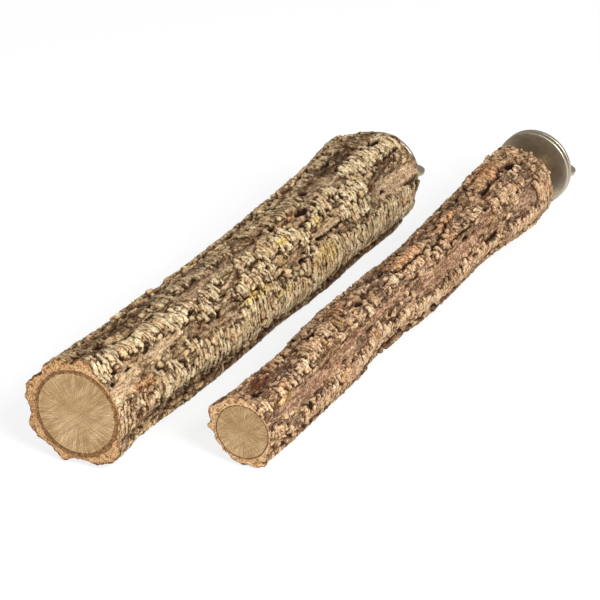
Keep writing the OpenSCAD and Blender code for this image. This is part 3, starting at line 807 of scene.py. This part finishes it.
    def make_colours(self):
        """Old gray bark, fresh broken plates and stains, painted shade on the sides, in the
        furrows, cracks and hollows, and a painted highlight on raised points
        """
        p = self.points
        ridge, pale, old, mottle = self.ridge, self.pale, self.old, self.mottle
        wide = self.other.rough(p + 1000, 30)
        speck = self.other.rough(p + 1400, 1.2, 2)
        # painted shade in hollows that lie below the bark's level round them, and a painted
        # highlight on points above it
        near = blur(self.radius, self.NEAR, self.NEAR)
        deep = ease(near - self.radius, 0.15, 0.75)
        proud = np.clip((self.radius - near) / 0.6, 0, 1)
        # painted shade: the furrows between the ridges darker, in umber
        furrow = 1 - ease(ridge + 0.2 * mottle, 0.1, 0.45)
        warm = ease(mottle + 0.5 * ridge, 0.05, 0.6)
        colour = coat(
            linear(GRAY_BROWN),
            (GRAY, ease(wide, -0.3, 0.5)),
            (TAN, 0.25 * warm * (1 - 0.6 * old)),
            (UMBER, 0.35 * furrow * (1 - old)),
            (PINK_TAN, 0.5 * ease(self.patchy, -0.2, 0.4)),
            (self.spec["old"], 0.8 * old),
            (UMBER, 0.6 * ease(-self.fibre, 0.1, 0.6) * (1 - 0.8 * old)),
        )
        # the palest blocks: partly at random, partly a painted highlight where they stand proud
        bright = ease(self.other_own + 0.5 * proud + 0.4 * wide, 0.3, 0.8)
        worn = ease(self.noise.rough(p + 1800, 9), 0.0, 0.5) * ease(self.side_random, 0.2, 0.6)
        fresh = coat(
            linear(TAN),
            (STRAW, ease(self.own + 0.5 * mottle, 0.0, 0.6)),
            (CREAM, 0.9 * bright),
            (ORANGE, self.spec["warm"] * ease(self.patchy, -0.6, 0.4)),
            (GRAY_BROWN, 0.75 * worn),
        )
        colour = mix(colour, fresh, ease(pale + 0.15 * mottle, 0.2, 0.7))
        # painted highlight on raised points; the lifted flakes are paler cork
        colour = coat(colour, (STRAW, 0.3 * proud * (1 - 0.7 * old) + 0.6 * self.flake))
        ragged = self.patchy + mottle
        for stain, *spot, strength in self.spec["stains"]:
            share = strength * spot_share(self.u, self.at, spot, ragged)
            level = colour.mean(-1, keepdims=True) / linear(stain).mean()
            colour = mix(colour, linear(stain) * np.clip(level, 0.3, 1.1), 0.85 * share)
        # painted shade: the darker stretches listed, partly darker bark, partly sides turned
        # away from the lamps
        darkest = 0.35
        for *spot, strength in self.spec["shade"]:
            share = strength * spot_share(self.u, self.at, spot, ragged)
            colour = mix(colour, colour * darkest, share)
        # painted shade: umber over the sides turned away from the camera and the lamps
        colour = coat(colour, (UMBER, 0.3 * self.hidden * (1 - pale)))
        colour = colour * (1 + 0.3 * (self.crumb[..., 1] - 0.5))[..., None]
        # painted shade in the cracks across the blocks, round the plates, between the crumbs,
        # and in hollows, pits and long cracks
        for share in (
            0.7 * self.spec["crackle"] * self.crack,
            np.clip(1.3 * self.rim, 0, 0.95),
            0.4 * self.crumb_crack * (1 - 0.6 * pale),
            np.clip(0.9 * deep + 0.9 * self.dark, 0, 0.95),
        ):
            colour = coat(colour, (CREVICE_SHADE, share))
        colour = colour * (1 + 0.45 * speck + 0.15 * mottle)[..., None]
        self.colour = np.clip(colour * self.spec["tone"], 0.004, 0.95)


# Meshes

# Where the rings are, as shares of the way
ALONG = (0.2, 0.4, 0.6, 0.8, 1)  # along a smooth side
SAWN = (0, 0.12, 0.25, 0.38, 0.5, 0.62, 0.74, 0.85, 0.94)  # out over the cork's sawn edge
TORN = (0.3, 0.65, 1.0)  # in over its torn end
INSIDE = (0.75, 0.5, 0.25)  # back along its inside
INNER = (0, 0.2, 0.4, 0.6, 0.8, 1)  # out over the inner bark's sawn edge
DRILLED = (0.75, 0.5, 0.3)  # in over the wood's drilled end


def add_object(name, data):
    """A new object in the scene"""
    thing = bpy.data.objects.new(name, data)
    bpy.context.scene.collection.objects.link(thing)
    return thing


def add_mesh(name, points, faces, sharp=SHARP):
    """A new object from points in millimetres"""
    mesh = bpy.data.meshes.new(name)
    mesh.from_pydata((np.asarray(points) * MM).tolist(), [], faces)
    mesh.update()
    mesh.shade_smooth()
    mesh.set_sharp_from_angle(angle=math.radians(sharp))
    return add_object(name, mesh)


def band(first, second, count):
    """The faces between two rings of points that start at these indices"""
    return [
        (first + k, second + k, second + (k + 1) % count, first + (k + 1) % count)
        for k in range(count)
    ]


def skin(rings, closed=True):
    """Points and faces of a stack of rings, closed from its last ring to its first or
    with a cap at each end"""
    count = len(rings[0])
    faces = []
    for j in range(len(rings) - 1):
        faces += band(j * count, (j + 1) * count, count)
    last = (len(rings) - 1) * count
    if closed:
        faces += band(last, 0, count)
    else:
        faces.append(tuple(range(count)))
        faces.append(tuple(range(last + count - 1, last - 1, -1)))
    return np.concatenate(rings), faces


def paint(thing, name, colours):
    """Stores a colour at each point of the mesh, for its material to read"""
    attribute = thing.data.attributes.new(name, "FLOAT_COLOR", "POINT")
    full = np.ones((len(colours), 4), np.float32)
    full[:, :3] = colours
    attribute.data.foreach_set("color", full.ravel())


def mark(thing, name, values):
    """Stores a number at each point of the mesh, for its material to read"""
    attribute = thing.data.attributes.new(name, "FLOAT", "POINT")
    attribute.data.foreach_set("value", np.asarray(values, np.float32))


def put_on(thing, perch, body, node):
    """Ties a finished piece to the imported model"""
    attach(thing, perch.name + "_" + body)
    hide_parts(perch.name + "_" + node)


def sawn_cork(perch, bark, share):
    """One ring of the cork's sawn edge, at a share of the way from the inner bark out"""
    noise = bark.noise
    angle = bark.angle[0]
    a = np.radians(angle)
    inner = perch.inner_edge(angle)
    r = inner + (bark.radius[0] - inner) * share
    spots = np.stack([r * np.cos(a), 0 * a, r * np.sin(a)], -1)
    tone = noise.rough(spots + 50, 2.6, 4)
    wide = noise.rough(spots + 80, 8, 2)
    layers = noise.rough(np.stack([spots[:, 0] * 0.25, r * 1.4, spots[:, 2] * 0.25], -1), 2, 2)
    sunk = np.maximum(0.2 - 0.3 * tone, 0) * ease(share, 0, 0.2) * (1 - ease(share, 0.9, 1))
    points = perch.ring(sunk, angle, r)
    colour = coat(
        linear(SAWN_CORK),
        (ORANGE, 0.35 * ease(wide, -0.1, 0.6)),
        (TAN, 0.8 * ease(tone, -0.1, 0.5)),
        (STRAW, 0.6 * ease(layers, 0.0, 0.5)),
        (INNER_BROWN, 0.65 * ease(-tone, 0.1, 0.55)),
        (UMBER, 0.8 * ease(share + 0.25 * tone, 0.82, 1.0)),
    )
    return points, colour * perch.spec["sawn_tone"]


def cork_jacket(perch):
    """The cork: its sawn edge, its outside, its torn back edge and its inside"""
    bark = Bark(perch)
    spec = perch.spec
    angle = bark.angle[0]
    rings, colours = [], []
    for share in SAWN:
        points, colour = sawn_cork(perch, bark, share)
        rings.append(points)
        colours.append(colour)
    front = len(rings)
    for j in range(spec["rings"]):
        rings.append(perch.ring(bark.worn_y[j], angle, bark.radius[j]))
        colours.append(bark.colour[j])
    # the torn end, from the outside in
    tear = Noise(spec["seed"] + 9)
    end_y, end_r = bark.worn_y[-1], bark.radius[-1]
    inside_r = perch.inner_edge(angle) * perch.girth(perch.length)
    for share in TORN:
        r = end_r + (inside_r - end_r) * share
        points = perch.ring(end_y, angle, r)
        points[:, 1] -= np.maximum(0.8 * tear.rough(points, 3), 0) * (1 - share)
        rings.append(points)
        colours.append(coat(linear(UMBER), (TAN, ease(tear.rough(points, 4), -0.2, 0.6))))
    # and the inside back to the face
    for share in INSIDE:
        y = share * end_y
        rings.append(perch.ring(y, angle, perch.inner_edge(angle) * perch.girth(y)))
        colours.append(np.tile(linear(UMBER), (len(angle), 1)))
    jacket = add_mesh(perch.name + "_cork", *skin(rings), sharp=SHARP_BARK)
    paint(jacket, "bark_colour", np.concatenate(colours))
    outside = slice(front, front + spec["rings"])
    broken = np.maximum(spec["crackle"] * bark.broken, 0.25 * bark.calm * bark.ridge)
    for name, field, sawn in (
        ("broken", broken, 1),
        ("layer_run", bark.layer_run, 0),
        ("side_run", bark.side_run, 0),
    ):
        values = np.zeros((len(rings), len(angle)))
        values[:front] = sawn
        values[outside] = field
        mark(jacket, name, values.ravel())
    jacket.data.materials.append(BARK)
    put_on(jacket, perch, "perch", "cork_bark")


def inner_bark(perch):
    """The dark layer between the wood and the cork"""
    angle = np.arange(0, 360, 1.5)
    inner, outer = perch.wood_edge(angle), perch.inner_edge(angle)
    noise = perch.noise
    rings = []
    for share in INNER:
        r = inner + (outer - inner) * share
        points = perch.ring(0 * angle, angle, r)
        sunk = 0.25 + 0.3 * noise.rough(points + 300, 1.2, 2)
        points[:, 1] += np.maximum(sunk, 0) * math.sin(share * math.pi)
        rings.append(points)
    rings += perch.sleeve(ALONG, angle, outer)
    rings += perch.sleeve(reversed(ALONG), angle, inner)
    thing = add_mesh(perch.name + "_inner", *skin(rings))
    thing.data.materials.append(INNER_BARK)
    put_on(thing, perch, "perch", "inner_bark")


def bolt_box(perch):
    """The bolt's middle in x and z, its radius, and its first and last y"""
    low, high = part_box(perch.name + "_hanger_bolt")
    radius = (high.z - low.z) / 2 / MM
    return (low.x + high.x) / 2 / MM, (low.z + high.z) / 2 / MM, radius, low.y / MM, high.y / MM


def wood(perch):
    """The branch: its sawn face, its side, its drilled back end and the hole"""
    angle = np.arange(0, 360, 2.5)
    edge = perch.wood_edge(angle)
    noise = perch.noise
    rings = []
    heart, face_rings, sunk, uneven = 0.02, 22, 0.15, 0.12
    for share in np.linspace(heart, 1, face_rings):
        points = perch.ring(0 * angle, angle, edge * share)
        level = 1 - share**6
        points[:, 1] += (sunk + uneven * noise.rough(points + 500, 2.5)) * level
        rings.append(points)
    rings += perch.sleeve(ALONG, angle, edge)
    *_, bolt_r, bolt_start, _ = bolt_box(perch)
    clear = 0.05
    hole_r = bolt_r + clear
    back_edge = edge * perch.girth(perch.length)
    for share in DRILLED:
        points = perch.ring(perch.length, angle, hole_r + (back_edge - hole_r) * share)
        points[:, 1] -= np.maximum(0.2 * noise.rough(points + 700, 3), 0)
        rings.append(points)
    bottom = bolt_start - clear - perch.face
    for y in (perch.length, bottom):
        rings.append(perch.ring(perch.length, angle, hole_r + 0 * angle))
        rings[-1][:, 1] = perch.face + y
    thing = add_mesh(perch.name + "_wood", *skin(rings, closed=False))
    thing.data.materials.append(wood_material(perch))
    put_on(thing, perch, "perch", "wood_core")


def turned_ring(perch, radius, y, count):
    """A ring of points round the bolt's axis"""
    x, z, *_ = bolt_box(perch)
    a = np.linspace(0, math.tau, count, endpoint=False)
    return np.stack([x + radius * np.cos(a), y + 0 * a, z + radius * np.sin(a)], -1)


def washer(perch, node):
    """A stamped washer: its front rims are rounded, its back rims sharp"""
    low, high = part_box(perch.name + "_" + node)
    hole_r, round_r, burr = 4.35, 0.55, 0.12
    r, front, back = (high.x - low.x) / 2 / MM, low.y / MM, high.y / MM
    count, steps = 96, 5
    arc = [k / (steps - 1) * math.pi / 2 for k in range(steps)]
    profile = [(hole_r, back - burr)]
    for a in arc:
        in_by, back_by = round_r * (1 - math.cos(a)), round_r * (1 - math.sin(a))
        profile.append((hole_r + in_by, front + back_by))
    for a in arc:
        in_by, back_by = round_r * (1 - math.sin(a)), round_r * (1 - math.cos(a))
        profile.append((r - in_by, front + back_by))
    profile += [(r, back - burr), (r - burr, back), (hole_r + burr, back)]
    rings = [turned_ring(perch, radius, y, count) for radius, y in profile]
    thing = add_mesh(perch.name + "_" + node + "_look", *skin(rings), sharp=SHARP_METAL)
    thing.data.materials.append(STEEL)
    put_on(thing, perch, node + "_body", node)


def bolt(perch):
    """The bolt: a fine thread outside the wood and a taper inside it"""
    *_, r, start, end = bolt_box(perch)
    pitch, depth, bevel = 1.411, 0.75, 0.8
    inside = 2  # how far into the wood the fine thread goes
    point_len, point_share = 8, 0.25
    flank, crest = 2.6, 0.15
    count, steps = 48, 8
    thread_start = perch.back - inside
    a = np.linspace(0, math.tau, count, endpoint=False)
    rings = [
        turned_ring(perch, r * point_share, start, count),
        turned_ring(perch, r, start + point_len, count),
        turned_ring(perch, r, thread_start, count),
    ]
    for y in np.append(np.arange(thread_start, end, pitch / steps)[1:-1], end):
        turn = (y / pitch - a / math.tau) % 1
        cut = depth * (1 - np.clip(abs(turn - 0.5) * flank - crest, 0, 1))
        cut = cut * ease(y, thread_start, thread_start + pitch)
        blunt = bevel * ease(y, end - bevel, end)
        rings.append(turned_ring(perch, np.minimum(r - cut, r - blunt), y, count))
    thing = add_mesh(perch.name + "_bolt_look", *skin(rings, closed=False), sharp=SHARP_THREAD)
    thing.data.materials.append(STEEL)
    put_on(thing, perch, "perch", "hanger_bolt")


def wing_nut(perch):
    """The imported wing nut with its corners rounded, as on a casting"""
    name = perch.name + "_wing_nut"
    voxel = 0.3
    rough = add_object(name + "_rough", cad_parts[name].data.copy())
    remesh = rough.modifiers.new("remesh", "REMESH")
    remesh.mode = "VOXEL"
    remesh.voxel_size = voxel * MM
    relax = rough.modifiers.new("relax", "SMOOTH")
    relax.factor, relax.iterations = 0.5, 8
    bpy.context.view_layer.update()
    view = bpy.context.evaluated_depsgraph_get()
    mesh = bpy.data.meshes.new_from_object(rough.evaluated_get(view))
    bpy.data.objects.remove(rough)
    mesh.materials.clear()
    mesh.materials.append(STEEL)
    mesh.shade_smooth()
    put_on(add_object(name + "_look", mesh), perch, "wing_nut_body", "wing_nut")


# Materials


def add_node(tree, kind, inputs=None, **settings):
    """A node with its settings, and its inputs as numbers or other nodes' outputs"""
    node = tree.nodes.new(kind)
    for key, value in settings.items():
        setattr(node, key, value)
    for key, value in (inputs or {}).items():
        if isinstance(value, bpy.types.NodeSocket):
            tree.links.new(value, node.inputs[key])
        else:
            node.inputs[key].default_value = value
    return node


def new_material(name, roughness=0.5, specular=0.5):
    """A material with its nodes and its shader"""
    material = bpy.data.materials.new(name)
    material.use_nodes = True
    shader = material.node_tree.nodes["Principled BSDF"]
    shader.inputs["Roughness"].default_value = roughness
    shader.inputs["Specular IOR Level"].default_value = specular
    return material, material.node_tree, shader


def object_place(tree, middle=(0, 0, 0), scale=(1, 1, 1)):
    """Places in millimetres from a middle, stretched by scale"""
    place = add_node(tree, "ShaderNodeTexCoord").outputs["Object"]
    size = tuple(s / MM for s in scale)
    shift = tuple(-m * s for m, s in zip(middle, scale))
    inputs = {"Vector": place, "Scale": size, "Location": shift}
    return add_node(tree, "ShaderNodeMapping", inputs).outputs[0]


def ramp(tree, value, *stops):
    """A colour ramp with its stops as places and colours"""
    node = add_node(tree, "ShaderNodeValToRGB", {"Fac": value})
    steps = node.color_ramp.elements
    while len(steps) < len(stops):
        steps.new(0.5)
    for step, (place, colour) in zip(steps, stops):
        step.position = place
        step.color = rgba(colour)
    return node.outputs["Color"]


def noise_node(tree, place, scale, detail=3.0, roughness=0.55):
    inputs = {"Vector": place, "Scale": scale, "Detail": detail, "Roughness": roughness}
    return add_node(tree, "ShaderNodeTexNoise", inputs).outputs["Fac"]


def map_range(tree, value, low, high, to_low, to_high):
    names = ("Value", "From Min", "From Max", "To Min", "To Max")
    inputs = dict(zip(names, (value, low, high, to_low, to_high)))
    return add_node(tree, "ShaderNodeMapRange", inputs).outputs["Result"]


def maths(tree, how, a, b=0.0):
    return add_node(tree, "ShaderNodeMath", {0: a, 1: b}, operation=how).outputs[0]


def vector(tree, how, a, b=(0, 0, 0)):
    node = add_node(tree, "ShaderNodeVectorMath", {0: a, 1: b}, operation=how)
    return node.outputs["Value" if how == "LENGTH" else "Vector"]


def brighter(tree, colour, by):
    """A colour times a number, which may be more than 1"""
    inputs = {0: colour, "Scale": by}
    return add_node(tree, "ShaderNodeVectorMath", inputs, operation="SCALE").outputs[0]


def times(tree, colour, by):
    """A colour times another colour or a gray number"""
    node = add_node(tree, "ShaderNodeMix", data_type="RGBA", blend_type="MULTIPLY")
    node.inputs[0].default_value = 1.0
    tree.links.new(colour, node.inputs[6])
    tree.links.new(by, node.inputs[7])
    return node.outputs[2]


def tint(tree, colour, value, *stops):
    """A colour times a ramp of tints"""
    return times(tree, colour, ramp(tree, value, *stops))


def finish_surface(tree, shader, colour, height, strength, depth):
    """Joins a colour and a bump to the shader"""
    tree.links.new(colour, shader.inputs["Base Color"])
    inputs = {"Height": height, "Strength": strength, "Distance": depth * MM}
    bump = add_node(tree, "ShaderNodeBump", inputs)
    tree.links.new(bump.outputs["Normal"], shader.inputs["Normal"])


def read_mark(tree, name):
    """What mark stored at the points of the mesh"""
    return add_node(tree, "ShaderNodeAttribute", attribute_name=name).outputs["Fac"]


def joint_line(tree, run, bend, half_width):
    """1 on the joints of a run of strips, whose middles are whole numbers"""
    place = maths(tree, "FRACT", maths(tree, "ADD", run, bend))
    away = maths(tree, "ABSOLUTE", maths(tree, "SUBTRACT", place, 0.5))
    return map_range(tree, away, half_width, 2 * half_width, 1.0, 0.0)


def bark_material():
    """The painted bark, with grain, fibres along the old bark, and thin cracks between
    the blocks of broken cork, their darkness painted shade"""
    material, tree, shader = new_material("bark", 0.9, 0.2)
    colour = add_node(tree, "ShaderNodeAttribute", attribute_name="bark_colour")
    colour = colour.outputs["Color"]
    broken = read_mark(tree, "broken")
    place = object_place(tree)
    fine = noise_node(tree, place, 1.5, 4.0, 0.65)
    coarse = noise_node(tree, place, 0.35, 3.0, 0.6)
    colour = tint(tree, colour, coarse, (0.3, ROSY), (0.7, IVORY))
    colour = tint(tree, colour, fine, (0.3, GRAIN_TINT), (0.7, WHITE))
    colour = brighter(tree, colour, 1.6)
    # fibres on the old bark
    along = object_place(tree, scale=(1.0, 0.16, 1.0))
    fibres = map_range(tree, noise_node(tree, along, 0.9, 3.0, 0.65), 0.35, 0.65, 0.66, 1.34)
    old = maths(tree, "SUBTRACT", 1.0, broken)
    fibres = maths(tree, "ADD", maths(tree, "MULTIPLY", fibres, old), broken)
    colour = times(tree, colour, fibres)
    # painted shade in the thin cracks between the blocks
    bend = maths(tree, "MULTIPLY", maths(tree, "SUBTRACT", coarse, 0.5), 1.8)
    across = joint_line(tree, read_mark(tree, "layer_run"), bend, 0.05)
    beside = joint_line(tree, read_mark(tree, "side_run"), bend, 0.03)
    patches = noise_node(tree, place, 0.3, 2.0)
    across = maths(tree, "MULTIPLY", across, map_range(tree, patches, 0.35, 0.5, 0.2, 1.0))
    beside = maths(tree, "MULTIPLY", beside, map_range(tree, patches, 0.45, 0.6, 0.8, 0.0))
    line = maths(tree, "MULTIPLY", maths(tree, "MAXIMUM", across, beside), broken)
    colour = tint(tree, colour, line, (0.0, WHITE), (1.0, CRACK_SHADE_TINT))
    # painted warm shade: what is dark, mostly painted shade, is darker and browner still, as
    # shade with warm light bounced into it, and the palest cork less yellow
    light = add_node(tree, "ShaderNodeRGBToBW", {0: colour}).outputs[0]
    colour = tint(tree, colour, light, (0.0, WARM_SHADE_TINT), (0.32, WHITE), (0.8, COOL))
    finish_surface(tree, shader, colour, maths(tree, "SUBTRACT", fine, line), 0.8, 0.4)
    return material


def inner_material():
    """Dark inner bark, speckled with paler fibres"""
    material, tree, shader = new_material("inner_bark", 0.9)
    fine = noise_node(tree, object_place(tree), 1.3, 4.0, 0.7)
    colour = ramp(tree, fine, (0.36, INNER_DARK), (0.52, INNER_BROWN), (0.66, INNER_PALE))
    finish_surface(tree, shader, colour, fine, 0.8, 0.3)
    return material


def wood_material(perch):
    """Sawn end grain: pale rays from the heart, faint clouds and the marks of the saw"""
    material, tree, shader = new_material(perch.name + "_sawn_wood", 0.85, 0.25)
    saw_angle = 38
    x, z = perch.middle(0)
    flat = vector(tree, "MULTIPLY", object_place(tree, (x, 0, z)), (1, 0, 1))
    out = vector(tree, "LENGTH", flat)
    way = vector(tree, "NORMALIZE", flat)
    # rays hardly change along the radius, and fade towards the heart
    spoke = vector(tree, "MULTIPLY", way, (11, 0, 11))
    slow = {1: maths(tree, "MULTIPLY", out, 0.05)}
    slow = add_node(tree, "ShaderNodeCombineXYZ", slow).outputs[0]
    rays = noise_node(tree, vector(tree, "ADD", spoke, slow), 2.6, 3.0, 0.7)
    rays = maths(tree, "SUBTRACT", rays, 0.5)
    r = perch.spec["wood_r"]
    rays = maths(tree, "MULTIPLY", rays, map_range(tree, out, 0.1 * r, 0.75 * r, 0.35, 1.0))
    rays = maths(tree, "ADD", rays, 0.5)
    grain = noise_node(tree, flat, 1.8, 3.0, 0.6)
    cloud = noise_node(tree, flat, 0.1, 2.0)
    turn = {"Vector": flat, "Rotation": (0, math.radians(saw_angle), 0)}
    across = add_node(tree, "ShaderNodeMapping", turn).outputs[0]
    saw = noise_node(tree, vector(tree, "MULTIPLY", across, (0.05, 0, 1.6)), 1.0, 1.0)
    colour = ramp(tree, rays, (0.36, WOOD_DARK), (0.5, perch.spec["wood"]), (0.66, WOOD_PALE))
    for tone, low, high, darkest in (
        (cloud, 0.35, 0.65, CLOUD_TINT),
        (grain, 0.32, 0.6, END_GRAIN_TINT),
        (saw, 0.35, 0.55, SAW_TINT),
    ):
        colour = tint(tree, colour, tone, (low, darkest), (high, PAPER))
    height = maths(tree, "ADD", maths(tree, "ADD", grain, rays), saw)
    finish_surface(tree, shader, colour, height, 0.5, 0.2)
    return material


def steel_material():
    """Zinc plate with light scuffs"""
    material, tree, shader = new_material("plated_steel")
    scuffs = noise_node(tree, object_place(tree), 0.6, 4.0, 0.6)
    colour = ramp(tree, scuffs, (0.3, STEEL_DARK), (0.7, STEEL_PALE))
    shader.inputs["Metallic"].default_value = 1.0
    tree.links.new(map_range(tree, scuffs, 0.3, 0.7, 0.34, 0.4), shader.inputs["Roughness"])
    finish_surface(tree, shader, colour, scuffs, 0.03, 0.05)
    return material


BARK = bark_material()
INNER_BARK = inner_material()
STEEL = steel_material()


# The studio

# each lamp's name, place and size in metres, and power
LAMPS = ("key", (1.3, -0.9, 1.1), 0.8, 38), ("fill", (0.3, -1.8, 0.7), 1.0, 12)


def add_floor():
    """A white floor that keeps a soft shadow"""
    size = 4.0
    lit, seen_lit, glow = 0.8, 0.25, 0.8
    mesh = bpy.data.meshes.new("floor")
    corners = [(-size, -size, 0), (size, -size, 0), (size, size, 0), (-size, size, 0)]
    mesh.from_pydata(corners, [], [(0, 1, 2, 3)])
    material, tree, shader = new_material("floor", 1.0, 0.0)
    rays = add_node(tree, "ShaderNodeLightPath").outputs
    seen = maths(tree, "MAXIMUM", rays["Is Camera Ray"], rays["Is Glossy Ray"])
    gray = map_range(tree, seen, 0.0, 1.0, lit, seen_lit)
    tree.links.new(gray, shader.inputs["Base Color"])
    shader.inputs["Emission Color"].default_value = (1, 1, 1, 1)
    tree.links.new(maths(tree, "MULTIPLY", seen, glow), shader.inputs["Emission Strength"])
    mesh.materials.append(material)
    add_object("floor", mesh)


def add_world():
    """Soft light from all round"""
    strength = 0.36
    world = bpy.data.worlds.new("studio")
    world.use_nodes = True
    background = world.node_tree.nodes["Background"]
    background.inputs["Color"].default_value = (1, 1, 1, 1)
    background.inputs["Strength"].default_value = strength
    bpy.context.scene.world = world


def add_lamp(name, place, size, power):
    """A round soft lamp that shines at the perches"""
    data = bpy.data.lights.new(name, "AREA")
    data.shape = "DISK"
    data.size = size
    data.energy = power
    lamp = add_object(name, data)
    lamp.location = place
    lamp.rotation_euler = (-Vector(place)).to_track_quat("-Z", "Y").to_euler()


def add_camera(perch):
    """The photograph's view, from how both perches and the washers show in it"""
    right, back, above = 610.0, 1026.7, 592.9  # from the middle of the large sawn face
    azimuth, elevation = 26.25, -24.44
    lens, sensor, far = 192, 36, 20
    x, z = perch.middle(0)
    data = bpy.data.cameras.new("camera")
    data.lens, data.sensor_width = lens, sensor
    data.clip_end = far
    camera = add_object("camera", data)
    camera.location = Vector((x + right, perch.face - back, z + above)) * MM
    camera.rotation_euler = (math.radians(90 + elevation), 0, math.radians(azimuth))
    bpy.context.scene.camera = camera


def dress(perch):
    """All that is seen of one perch"""
    wood(perch)
    inner_bark(perch)
    cork_jacket(perch)
    bolt(perch)
    washer(perch, "inner_washer")
    washer(perch, "outer_washer")
    wing_nut(perch)


large = Perch(LARGE)
dress(large)
dress(Perch(SMALL))
add_floor()
add_world()
for lamp in LAMPS:
    add_lamp(*lamp)
add_camera(large)
bpy.context.scene.view_settings.view_transform = "Standard"
